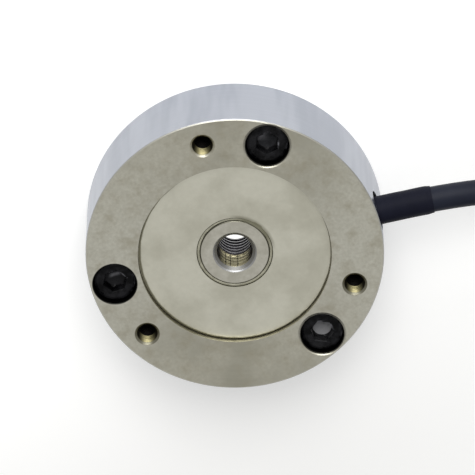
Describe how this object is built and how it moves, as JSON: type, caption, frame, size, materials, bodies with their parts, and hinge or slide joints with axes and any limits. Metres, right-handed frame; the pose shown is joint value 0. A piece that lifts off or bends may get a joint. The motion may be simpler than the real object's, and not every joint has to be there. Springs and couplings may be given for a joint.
{
  "type": "tension and compression load cell",
  "caption": "Round low-profile load cell with a threaded hub, counterbored and tapped flange holes, sealed covers, and a side cable wound in a coil",
  "frame": {"origin": "centre of the rear mounting face, on the load axis", "axes": "+Z along the load axis from the rear mounting face to the front face, +X towards the cable inlet"},
  "size_m": [0.2142, 0.0927, 0.021],
  "materials": {
    "body_steel": "fine-turned stainless steel",
    "cover_steel": "satin stainless sheet",
    "seal_bead": "matt sealant",
    "screw_black": "black oxide",
    "gauge_foil": "foil on a polyimide carrier",
    "board_green": "solder mask",
    "spacer_white": "matt",
    "resistor_body": "matt",
    "wire_enamel": "enamelled copper",
    "potting_black": "matt",
    "grommet_black": "matt",
    "sleeve_black": "heat-shrunk, satin",
    "jacket_black": "matt extruded jacket",
    "insulation_red": "satin",
    "insulation_black": "satin",
    "insulation_green": "satin",
    "insulation_white": "satin",
    "insulation_clear": "sleeved shield strand",
    "tinned_copper": "tinned"
  },
  "bodies": {
    "root": {"sensor_body": "body_steel", "front_cover": "cover_steel", "rear_cover": "cover_steel", "hub_seal_front": "seal_bead", "hub_seal_rear": "seal_bead", "flange_screws": "screw_black", "strain_gauge_1": "gauge_foil", "strain_gauge_2": "gauge_foil", "strain_gauge_3": "gauge_foil", "strain_gauge_4": "gauge_foil", "board_spacers": "spacer_white", "bridge_board": "board_green", "trim_resistors": "resistor_body", "gauge_ribbons": "wire_enamel", "inlet_potting": "potting_black", "core_red": "insulation_red", "core_black": "insulation_black", "core_green": "insulation_green", "core_white": "insulation_white", "core_grommet": "grommet_black", "cable": "jacket_black", "strain_relief_sleeve": "sleeve_black", "cable_coil": "jacket_black", "cable_tail": "jacket_black", "lead_red": "insulation_red", "lead_black": "insulation_black", "lead_shield": "insulation_clear", "lead_green": "insulation_green", "lead_white": "insulation_white", "tinned_tips": "tinned_copper"}
  },
  "joints": []
}
